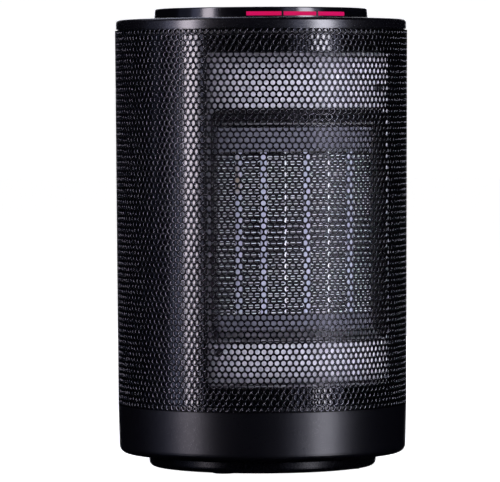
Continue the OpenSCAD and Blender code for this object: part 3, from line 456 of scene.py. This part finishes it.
# Rolled aluminium under a milky anodic film: pale and broadly glowing, with faint rolling
# bands and a dapple that breaks the glow into patches.
aluminium, tree, shader, place = material("milky_anodised_aluminium", Metallic=1.0)
dapple = grain(tree, shader, place, 5 * mm, ("#96949a", "#dcdadf"), (0.5, 0.7), 0.12 * mm, 4.0)
banded = add(tree, "Mapping", {"Vector": place, "Scale": (1 / (2.5 * mm), 1, 1 / (60 * mm))})
bands = add(tree, "TexNoise", {"Vector": banded.outputs["Vector"], "Scale": 1.0, "Detail": 3.0})
level = add(tree, "Math", {0: dapple, 1: bands.outputs["Fac"]}, operation="MULTIPLY")
spread = {"Value": level.outputs[0], "From Max": 0.7, "To Min": 0.5, "To Max": 0.72}
rough = add(tree, "MapRange", spread)
tree.links.new(rough.outputs["Result"], shader.inputs["Roughness"])

mouth = dict(half=funnel_half, low=mouth_z0, high=mouth_z1)
outline = dict(half=plate_hi.x, low=plate_lo.z, high=plate_hi.z)


def loop(edge, grow, radius, depth):
    """A rounded rectangle as a ring, made larger all round by grow."""
    low, high = edge["low"] - grow, edge["high"] + grow
    return rounded(edge["half"] + grow, low, high, radius + grow, depth)


front, rear = plate_lo.y, plate_hi.y
window = dict(half=funnel_half + mouth_slack, low=mouth_z0 - mouth_slack, high=mouth_z1 + mouth_slack)
plate_rings = np.stack([
    loop(outline, 0, plate_corner, front + roll),
    loop(outline, -roll_middle, plate_corner, front + roll_middle),
    loop(outline, -roll, plate_corner, front),
    loop(window, roll, mouth_corner, front),
    loop(window, roll_middle, mouth_corner, front + roll_middle),
    loop(window, 0, mouth_corner, front + roll),
    loop(window, 0, mouth_corner, rear),
    loop(outline, 0, plate_corner, rear),
])
plate_skin = skin(plate_rings, around=True)
build("reflector_sheet", [plate_skin], aluminium, "housing", ["reflector_plate"])
dress(aluminium, "reflector_lip")

# Black-oxide steel screws: dark and oily, with worn bright crests.
black_oxide, tree, shader, place = material("black_oxide_steel", Metallic=1.0)
grain(tree, shader, place, 0.5 * mm, ("#17171a", "#2c2c30"), (0.3, 0.5), 0.02 * mm)
dress(black_oxide, "reflector_screws")

# ---- Funnel and bezel -----------------------------------------------------------------
# The funnel is one moulding in heat-proof black PBT: a rounded outer wall, four mitred
# slopes down to the throat, and a flange and box behind. The bezel is a zinced steel frame.

bezel_slack = 0.02 * mm
bezel_margin = 0.3 * mm
box_margin = 1.3 * mm
box_rise = 2 * mm
box_wall = 1.6 * mm
box_corner = 1 * mm
flange_t = 2.4 * mm
flange_corner = 3 * mm
throat_corner = 0.6 * mm
slope_corner = 4 * mm
lip_w = 0.35 * mm
lip_middle = 0.1 * mm
throat_y = bezel_lo.y - bezel_slack
mouth_y = funnel_lo.y
throat_z0 = bezel_lo.z + bezel_margin
throat_z1 = bezel_hi.z - bezel_margin
box_half = bezel_hi.x + box_margin
box_end = funnel_hi.y
flange_y = rear + flange_t
flange = dict(half=funnel_hi.x, low=funnel_lo.z, high=funnel_hi.z)
box = dict(half=box_half, low=throat_z0 - box_rise, high=throat_z1 + box_rise)
throat = dict(half=core_half, low=throat_z0, high=throat_z1)
funnel_rings = np.stack([
    loop(box, 0, box_corner, box_end),
    loop(box, 0, box_corner, flange_y),
    loop(flange, 0, flange_corner, flange_y),
    loop(flange, 0, flange_corner, rear),
    loop(mouth, 0, mouth_corner, rear),
    loop(mouth, 0, mouth_corner, mouth_y + lip_w),
    loop(mouth, -lip_middle, mouth_corner, mouth_y + lip_middle),
    loop(mouth, -lip_w, mouth_corner, mouth_y),
    loop(mouth, -1.6 * lip_w, mouth_corner, mouth_y + lip_middle),
    loop(mouth, -2 * lip_w, slope_corner, mouth_y + lip_w),
    loop(throat, 0, throat_corner, throat_y),
    loop(box, -box_wall, throat_corner, throat_y),
    loop(box, -box_wall, throat_corner, box_end),
])


def brick(low, high):
    """Box between two corners, as two rings of four points."""
    x, y, z = zip(low, high)
    ring = np.array([[x[0], y[0]], [x[1], y[0]], [x[1], y[1]], [x[0], y[1]]])
    return skin(np.stack([np.column_stack([ring, np.full(4, height)]) for height in z]))


duct_screws_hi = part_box("duct_screws")[1]
ear_inset = 14 * mm
ear_half = 4 * mm
ear_t = 2 * mm
ear_lap = 1 * mm
ears = []
for ear_z in (throat_z0 + ear_inset, throat_z1 - ear_inset):
    for side in (-1, 1):
        ends = sorted((side * (box_half - ear_lap), side * (duct_screws_hi.x + ear_lap)))
        low_corner = (ends[0], box_end - ear_t, ear_z - ear_half)
        ears.append(brick(low_corner, (ends[1], box_end, ear_z + ear_half)))

# Glass-filled PBT moulded with a gloss: the fibres leave a slight float pattern that
# softens the highlights a little.
pbt, tree, shader, place = material("glass_filled_black_pbt", IOR=1.57)
grain(tree, shader, place, 1.2 * mm, ("#0b0b0d", "#131316"), (0.16, 0.28), 0.02 * mm)
funnel_skins = [skin(funnel_rings, around=True), *ears]
build("funnel_moulding", funnel_skins, pbt, "housing", ["element_funnel"])

# Zinc plate on cold-rolled steel: dark to mid grey, with cloudy spangle.
zinc, tree, shader, place = material("zinc_plated_steel", Metallic=1.0)
grain(tree, shader, place, 6 * mm, ("#4a4a52", "#6c6c75"), (0.42, 0.6), 0.02 * mm, 4.0)
dress(zinc, "element_bezel", "foot_plate")

# ---- Heating core ---------------------------------------------------------------------
# Corrugated strips of thin aluminium are bonded between flat extruded tubes, which hold
# the ceramic stones in an insulating film. Thin divider plates part the middle columns.

column_w = 10.1 * mm
tube_w = 4.2 * mm
divider_w = 0.6 * mm
layout = "FTFTFDFTFDFTF"
widths = np.array([{"F": column_w, "T": tube_w, "D": divider_w}[kind] for kind in layout])
starts = -core_half + np.cumsum(widths) - widths
leg_step = 1.5 * mm
strip_t = 0.28 * mm
lean = 1.0 * mm
leg_scatter = 0.07
bow_scatter = 0.1 * mm
tilt_scatter = 0.08 * mm
core_front, core_back = core_lo.y, core_hi.y
dice = np.random.default_rng(7)


def corrugated(left, right):
    """A strip folded to and fro between left and right, and extruded along Y. Leg i runs at
    z = z0 + i step, plus b sin(pi s) + c (s - 1/2) with small random b and c. Half ellipses with
    x = end + r cos t and z = middle + gap / 2 sin t join each leg to the next. The back edge is
    higher than the front edge by lean, so nothing shows straight through the folds."""
    legs = int((core_hi.z - core_lo.z - strip_t) / leg_step)
    height = core_lo.z + strip_t + leg_step * (np.arange(legs) + dice.normal(0, leg_scatter, legs))
    turn_r = leg_step / 2
    s = np.linspace(0, 1, 5)
    t = np.linspace(-math.pi / 2, math.pi / 2, 7)[1:-1]
    rightward = (np.arange(legs) % 2 == 0)[:, None]
    x0 = left + turn_r + strip_t / 2
    x1 = right - turn_r - strip_t / 2
    x = np.where(rightward, x0 + (x1 - x0) * s, x1 - (x1 - x0) * s)
    bow = dice.normal(0, bow_scatter, (legs, 1)) * np.sin(math.pi * s)
    tilt = dice.normal(0, tilt_scatter, (legs, 1)) * (s - 0.5)
    z = height[:, None] + bow + tilt
    gap = np.append(z[1:, 0] - z[:-1, -1], leg_step)[:, None]
    bend_x = np.where(rightward, x1, x0) + np.where(rightward, 1, -1) * turn_r * np.cos(t)
    bend_z = z[:, -1:] + gap / 2 + gap / 2 * np.sin(t)
    path = np.stack([np.hstack([x, bend_x]).ravel(), np.hstack([z, bend_z]).ravel()], 1)[: -len(t)]
    path[:, 1] = np.clip(path[:, 1], core_lo.z + strip_t / 2, core_hi.z - lean - strip_t / 2)
    along = np.gradient(path, axis=0)
    normal = np.stack([-along[:, 1], along[:, 0]], 1) / np.linalg.norm(along, axis=1)[:, None]
    low = path - normal * strip_t / 2
    high = path + normal * strip_t / 2
    corners = []
    for edge, y, up in (
        (low, core_front, 0), (high, core_front, 0), (high, core_back, lean), (low, core_back, lean),
    ):
        corners.append(np.stack([edge[:, 0], np.full(len(edge), y), edge[:, 1] + up], 1))
    return skin(np.stack(corners, 1))


# The faces of the strip and the sides of the tubes and plates get a near-black painted
# shade, standing in for the shade that falls between the folds, so the gaps look black.
fin_painted_shade, tree, shader, place = material("painted_shade_aluminium_strip", IOR=1.45, Specular_IOR_Level=0.1)
grain(tree, shader, place, 1.5 * mm, ("#050506", "#0e0e10"), (0.6, 0.8), 0.02 * mm)

# The slit edges of the strip and the flat plates are bare and bright.
bright_edge, tree, shader, place = material("slit_aluminium_edge", Metallic=1.0)
grain(tree, shader, place, 1.5 * mm, ("#c4c4ca", "#f6f6f6"), (0.4, 0.6), 0.02 * mm)
fins = [corrugated(x, x + column_w) for x, kind in zip(starts, layout) if kind == "F"]
# Only the front edges of the strip stay bright; every other face takes the painted shade.
build(
    "corrugated_fins", fins, fin_painted_shade, "housing", ["heater_fins"],
    crease=50, front_finish=bright_edge,
)


def flat_tube(left, right, wall=0.7 * mm, depth_wall=1.2 * mm, radius=0.5 * mm):
    """Hollow flat tube along Z: outer and inner rounded rectangles in plan, joined at the ends."""
    half, middle = (right - left) / 2, (right + left) / 2
    bottom, top = core_lo.z, core_hi.z
    rings = []
    for inset, inset_y, height in (
        (0, 0, bottom), (0, 0, top), (wall, depth_wall, top), (wall, depth_wall, bottom),
    ):
        corner = radius - 0.6 * inset
        plan = rounded(half - inset, core_front + inset_y, core_back - inset_y, corner, 0.0, 4)
        rings.append(np.stack([plan[:, 0] + middle, plan[:, 2], np.full(len(plan), height)], 1))
    return skin(np.stack(rings), around=True)


# Extruded aluminium baked with its adhesive: pale and bluish, with upright tan stains where
# the silicone has crept out.
tube_stock, tree, shader, place = material("extruded_aluminium_tube", Metallic=1.0)
shade = grain(tree, shader, place, 2.5 * mm, ("#9a9aaa", "#bcbccc"), (0.5, 0.65), 0.02 * mm)
clean = add(tree, "Mix", {0: shade, 6: linear("#9a9aaa"), 7: linear("#bcbccc")}, data_type="RGBA")
stain_at = add(tree, "Mapping", {"Vector": place, "Scale": (1 / (9 * mm), 1, 1 / (26 * mm))})
patches = add(tree, "TexNoise", {"Vector": stain_at.outputs["Vector"], "Scale": 1.0, "Detail": 1.0})
stained = add(tree, "MapRange", {"Value": patches.outputs["Fac"], "From Min": 0.6, "From Max": 0.68})
shades = {0: stained.outputs["Result"], 6: clean.outputs[2], 7: linear("#95877a")}
film = add(tree, "Mix", shades, data_type="RGBA")
tree.links.new(film.outputs[2], shader.inputs["Base Color"])
tubes = [flat_tube(x, x + tube_w) for x, kind in zip(starts, layout) if kind == "T"]
# The fronts of the tubes take the tube finish; their sides take the painted shade.
build(
    "extruded_tubes", tubes, fin_painted_shade, "housing", ["ptc_tubes"],
    front_finish=tube_stock,
)

plates_lo, plates_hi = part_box("divider_plates")
plates = []
for x, kind in zip(starts, layout):
    if kind == "D":
        far_corner = (x + divider_w, plates_hi.y, plates_hi.z)
        plates.append(brick((x, plates_lo.y, plates_lo.z), far_corner))
# The fronts of the plates are bright; their sides take the painted shade.
build(
    "bright_dividers", plates, fin_painted_shade, "housing", ["divider_plates"],
    front_finish=bright_edge,
)

# Polyimide film round the stones: amber with a wet gloss.
polyimide, tree, shader, place = material("amber_polyimide_film", Roughness=0.15, IOR=1.7)
grain(tree, shader, place, 3 * mm, ("#8f5f18", "#b98a35"), (0.12, 0.25), 0.02 * mm)
dress(polyimide, "insulation_strips")

# Barium titanate stones, pressed and fired: dry, brown-grey and fine-grained.
titanate, tree, shader, place = material("fired_barium_titanate", IOR=1.9)
grain(tree, shader, place, 0.4 * mm, ("#75695a", "#9a8b77"), (0.7, 0.9), 0.05 * mm)
dress(titanate, "ptc_stones")

# Phenolic end clamps: dark brown moulding with a dull bloom.
phenolic, tree, shader, place = material("moulded_phenolic", IOR=1.6)
grain(tree, shader, place, 1.0 * mm, ("#1a1613", "#2a241f"), (0.4, 0.6), 0.03 * mm)
dress(phenolic, "end_clamps")

# Pressed brass tabs and nut: yellow and bright, with darker handling marks.
brass, tree, shader, place = material("pressed_brass", Metallic=1.0)
grain(tree, shader, place, 2.0 * mm, ("#a07d33", "#d6b35c"), (0.2, 0.4), 0.01 * mm)
dress(brass, "terminals", "hub_nut")

# Steatite body of the thermal cut-out: off-white unglazed ceramic.
steatite, tree, shader, place = material("unglazed_steatite", IOR=1.58)
grain(tree, shader, place, 0.8 * mm, ("#c3beb0", "#dedace"), (0.45, 0.65), 0.03 * mm)
dress(steatite, "thermal_cutout")

# ---- Fan ------------------------------------------------------------------------------
# A duct and three arms in black polypropylene carry the motor, and the seven-bladed fan is
# pressed on its ground shaft and held by a nut.

# Talc-filled polypropylene: dull black with a slightly waxy sheen.
talc_pp, tree, shader, place = material("talc_filled_polypropylene", IOR=1.5)
grain(tree, shader, place, 1.5 * mm, ("#141416", "#1f1f22"), (0.42, 0.6), 0.04 * mm)
dress(talc_pp, "fan_duct", "lower_deck", "top_bulkhead")

# Smoke-grey glass-filled nylon blades: smooth faces with slow pale clouds.
blade_nylon, tree, shader, place = material("smoke_grey_nylon", IOR=1.53)
grain(tree, shader, place, 8 * mm, ("#24262b", "#35383f"), (0.3, 0.45), 0.03 * mm)
dress(blade_nylon, "impeller")

# Drawn steel motor cans: grey, with fine draw lines from front to back.
drawn_can, tree, shader, place = material("drawn_steel_can", Metallic=1.0)
grain(tree, shader, place, 3 * mm, ("#8b8e92", "#b5b8bc"), (0.25, 0.4), 0.01 * mm)
line_scale = (1 / (0.4 * mm), 1 / (40 * mm), 1 / (0.4 * mm))
lines_at = add(tree, "Mapping", {"Vector": place, "Scale": line_scale})
lines = add(tree, "TexNoise", {"Vector": lines_at.outputs["Vector"], "Scale": 1.0})
drawn = add(tree, "Bump", {"Height": lines.outputs["Fac"], "Strength": 0.3, "Distance": 0.02 * mm})
tree.links.new(drawn.outputs["Normal"], shader.inputs["Normal"])
dress(drawn_can, "fan_motor", "swing_motor")

# Ground carbon steel shafts: bright, with a fine mottle from the grinder.
ground_steel, tree, shader, place = material("ground_carbon_steel", Metallic=1.0)
grain(tree, shader, place, 0.6 * mm, ("#a8aab0", "#d0d2d6"), (0.1, 0.22), 0.005 * mm)
dress(ground_steel, "fan_shaft", "swing_shaft")

# Zinced steel screws: pale grey with a cool cast, and rubbed smoother in places.
zinc_screw, tree, shader, place = material("zinced_screw_steel", Metallic=1.0)
grain(tree, shader, place, 0.7 * mm, ("#8d9096", "#c4c7cd"), (0.22, 0.42), 0.01 * mm)
dress(
    zinc_screw, "duct_screws", "motor_screws", "foot_screws", "pivot_screw", "swing_motor_screws",
    "deck_screws", "shell_screws", "bulkhead_screws", "cap_screws", "board_screws",
)

# ---- Top cap, control head, windows and keys ------------------------------------------
# The cap is a shallow ring in black ABS from a spark-eroded mould. The head is a round lid
# that carries three acrylic windows in its rim and three press keys in its top.

# Spark-eroded ABS: a fine even grain of about 0.45 mm that breaks up the highlight.
eroded_abs, tree, shader, place = material("spark_eroded_black_abs", IOR=1.54)
grain(tree, shader, place, 0.45 * mm, ("#040406", "#07070a"), (0.2, 0.28), 0.006 * mm)
dress(eroded_abs, "top_cap")

# The head and keys come from a finer mould: satin, with a sharper edge light.
satin_abs, tree, shader, place = material("satin_black_abs", IOR=1.54, Specular_IOR_Level=0.36)
grain(tree, shader, place, 0.6 * mm, ("#040406", "#07070a"), (0.13, 0.18), 0.004 * mm)
dress(satin_abs, "control_head")

# Dyed acrylic over pink lamps: it glows evenly, and a little redder in places.
acrylic, tree, shader, place = material(
    "dyed_magenta_acrylic", IOR=1.49, Roughness=0.5, Specular_IOR_Level=0.03
)
hue = add(tree, "TexNoise", {"Vector": place, "Scale": 1 / (30 * mm)})
shades = {0: hue.outputs["Fac"], 6: linear("#e8134c"), 7: linear("#f5127e")}
glow = add(tree, "Mix", shades, data_type="RGBA")
tree.links.new(glow.outputs[2], shader.inputs["Emission Color"])
shader.inputs["Emission Strength"].default_value = 0.62
shader.inputs["Base Color"].default_value = linear("#5a0822")

head_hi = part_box("control_head")[1]
lens_lo, lens_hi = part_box("indicator_lenses")
head_r = head_hi.x
lens_face = head_r - 0.15 * mm
lens_back = head_r - 2.7 * mm
lens_low = lens_lo.z + 0.75 * mm
lens_high = lens_lo.z + 2.85 * mm
lens_crown = 0.12 * mm
guide_r0 = head_r - 13.6 * mm
guide_r1 = head_r - 2.4 * mm
guide_overlap = 0.8
window_step = 19.7
window_span = 18.5


def arc_block(section, middle, span, steps=17):
    """A cross-section of (radius, z) points carried round the Z axis through span degrees about
    the angle middle. section(s) gives the points at s, which runs from -1 to 1 along the arc."""
    rings = []
    for s in np.linspace(-1, 1, steps):
        angle = math.radians(middle + s * span / 2)
        radius, z = section(s).T
        rings.append(np.stack([radius * math.cos(angle), radius * math.sin(angle), z], 1))
    return skin(np.stack(rings))


def window_section(s):
    """Window bar with a slightly crowned face: radius = face - crown v^2, with v up the bar."""
    v = np.linspace(-1, 1, 5)
    level = (lens_low + lens_high) / 2 + v * (lens_high - lens_low) / 2
    face = lens_face - lens_crown * v**2
    return np.array([[lens_back, lens_low], *zip(face, level), [lens_back, lens_high]])


def guide_section(s):
    """Light guide behind the window, from over the lamps to the head's wall."""
    low, high = lens_lo.z, lens_hi.z
    return np.array([[guide_r0, low], [guide_r1, low], [guide_r1, high], [guide_r0, high]])


bars = []
for key in (-1, 0, 1):
    bars.append(arc_block(window_section, -90 + key * window_step, window_span))
    bars.append(arc_block(guide_section, -90 + key * window_step, window_span + guide_overlap))
build("window_bars", bars, acrylic, "housing", ["indicator_lenses"], 40, 0.12 * mm)


key_r0 = head_r - 30.25 * mm
key_r1 = head_r - 15.95 * mm
key_stand = 0.4 * mm
key_dish = 0.35 * mm
key_depth = 3.2 * mm
key_gap = 3.2
tab_r0 = head_r - 31.8 * mm
tab_r1 = head_r - 14.4 * mm
tab_low = head_hi.z - 3.25 * mm
tab_high = head_hi.z - 2.05 * mm
tab_overlap = 0.3


def key_section(s):
    """Key with a dished top: z = top - dish (1 - s^2) (1 - v^2), where v crosses the key."""
    v = np.linspace(1, -1, 9)
    top = head_hi.z + key_stand - key_dish * (1 - s * s) * (1 - v * v)
    radius = (key_r0 + key_r1) / 2 + v * (key_r1 - key_r0) / 2
    foot_z = head_hi.z - key_depth
    return np.array([[key_r0, foot_z], [key_r1, foot_z], *zip(radius, top)])


def flange_section(s):
    """Flange that keeps the key in the head."""
    return np.array([[tab_r0, tab_low], [tab_r1, tab_low], [tab_r1, tab_high], [tab_r0, tab_high]])


key_bodies = {"key_power": "power_key", "key_heat": "heat_key", "key_swing": "swing_key"}
for key, (name, body) in zip((-1, 0, 1), key_bodies.items()):
    middle = -90 + key * window_step
    cap = arc_block(key_section, middle, window_span - key_gap)
    tab = arc_block(flange_section, middle, window_span + tab_overlap)
    build(f"{name}_cap", [cap, tab], satin_abs, body, [name], 40, 0.3 * mm)

# Lamp bodies: milky epoxy with a warm tint, lit from inside.
epoxy, tree, shader, place = material("milky_epoxy_lamp", IOR=1.55, Subsurface_Weight=0.3)
grain(tree, shader, place, 0.8 * mm, ("#e6e0d4", "#f8f4ea"), (0.25, 0.4), 0.01 * mm)
shader.inputs["Emission Color"].default_value = linear("#ff3f8c")
shader.inputs["Emission Strength"].default_value = 0.8
dress(epoxy, "indicator_lamps")

# Solder-masked glass-epoxy boards: green, over square raised lands some 3 mm across.
solder_mask, tree, shader, place = material("solder_masked_board", IOR=1.55, Coat_Weight=0.3)
grain(tree, shader, place, 4 * mm, ("#17532d", "#1f6b3a"), (0.25, 0.4), 0.01 * mm)
tracks = add(tree, "TexVoronoi", {"Vector": place, "Scale": 1 / (3 * mm)}, distance="CHEBYCHEV")
raised = add(tree, "Bump", {"Height": tracks.outputs["Distance"], "Strength": 0.4, "Distance": 0.05 * mm})
tree.links.new(raised.outputs["Normal"], shader.inputs["Normal"])
dress(solder_mask, "control_board", "power_board")

# ---- Skirt, gland and swing drive -----------------------------------------------------
# The skirt is a deep tray moulded in black ABS with a matt spark-eroded wall. It turns on
# the foot's post, and holds the power board, the geared motor and the mains inlet.

# Matt ABS: dense fine grain, so the strip lights spread into wide dim bands.
matt_abs, tree, shader, place = material("matt_black_abs", IOR=1.54, Specular_IOR_Level=0.22)
grain(tree, shader, place, 0.5 * mm, ("#020204", "#040407"), (0.27, 0.4), 0.03 * mm)
dress(matt_abs, "skirt")

# Black nylon gland and nut: smooth with a faint mottle.
gland_nylon, tree, shader, place = material("black_nylon_gland", IOR=1.53)
grain(tree, shader, place, 0.9 * mm, ("#111113", "#1b1b1e"), (0.35, 0.5), 0.03 * mm)
dress(gland_nylon, "cord_gland", "gland_nut")

# Natural acetal gears, bush and washer: milky white and slippery.
acetal, tree, shader, place = material("natural_acetal", IOR=1.48, Subsurface_Weight=0.15)
grain(tree, shader, place, 2.5 * mm, ("#d8d6cc", "#eceae2"), (0.28, 0.4), 0.01 * mm)
dress(acetal, "swivel_bush", "thrust_washer", "sun_gear", "swing_pinion")

# Relay cases: deep blue PBT with a hard gloss.
relay_blue, tree, shader, place = material("blue_pbt_case", IOR=1.57)
grain(tree, shader, place, 3 * mm, ("#183468", "#23478a"), (0.18, 0.3), 0.01 * mm)
dress(relay_blue, "relays")

# Terminal block: green polyamide.
green_pa, tree, shader, place = material("green_polyamide", IOR=1.53)
grain(tree, shader, place, 2 * mm, ("#256a43", "#328857"), (0.3, 0.45), 0.02 * mm)
dress(green_pa, "terminal_block")

# Switch bodies: pale grey polyester.
pale_pet, tree, shader, place = material("pale_polyester_case", IOR=1.57)
grain(tree, shader, place, 2 * mm, ("#c9c9c4", "#e0e0dc"), (0.3, 0.45), 0.02 * mm)
dress(pale_pet, "tilt_switch", "key_switches")

# ---- Foot and pads --------------------------------------------------------------------
# The foot is a shallow dish in glossier black ABS round a steel ballast plate. Four pads
# of soft black rubber, each with a ring groove, are glued to the plate.

foot_abs, tree, shader, place = material("semi_gloss_black_abs", IOR=1.54, Specular_IOR_Level=0.06)
grain(tree, shader, place, 0.8 * mm, ("#030305", "#070709"), (0.22, 0.32), 0.02 * mm)
dress(foot_abs, "foot")

pads_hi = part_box("foot_pads")[1]
pad_r = 6 * mm
pad_at = (pads_hi.x - pad_r) * math.sqrt(2)
pad_profile = np.array([
    [0.0, 1.0], [6.0, 1.0], [6.0, 0.25], [5.75, 0.0], [4.4, 0.0],
    [4.2, 0.3], [3.4, 0.3], [3.2, 0.0], [0.0, 0.0],
]) * mm


def turned(profile, centre, steps=40):
    """Profile of (radius, z) points turned round a vertical axis at centre."""
    angle = np.linspace(0, 2 * math.pi, steps, endpoint=False)
    radius, z = profile[:, :1], profile[:, 1:]
    x = centre[0] + radius * np.cos(angle)
    y = centre[1] + radius * np.sin(angle)
    return skin(np.stack([x, y, np.broadcast_to(z, x.shape)], -1))


# Nitrile rubber: dull, slightly dusty black.
rubber, tree, shader, place = material("moulded_nitrile_rubber", IOR=1.52, Specular_IOR_Level=0.3)
grain(tree, shader, place, 0.6 * mm, ("#161617", "#242426"), (0.7, 0.9), 0.05 * mm)
pads = []
for a in np.radians([45, 135, 225, 315]):
    pads.append(turned(pad_profile, (pad_at * math.cos(a), pad_at * math.sin(a))))
build("rubber_pads", pads, rubber, "base", ["foot_pads"])
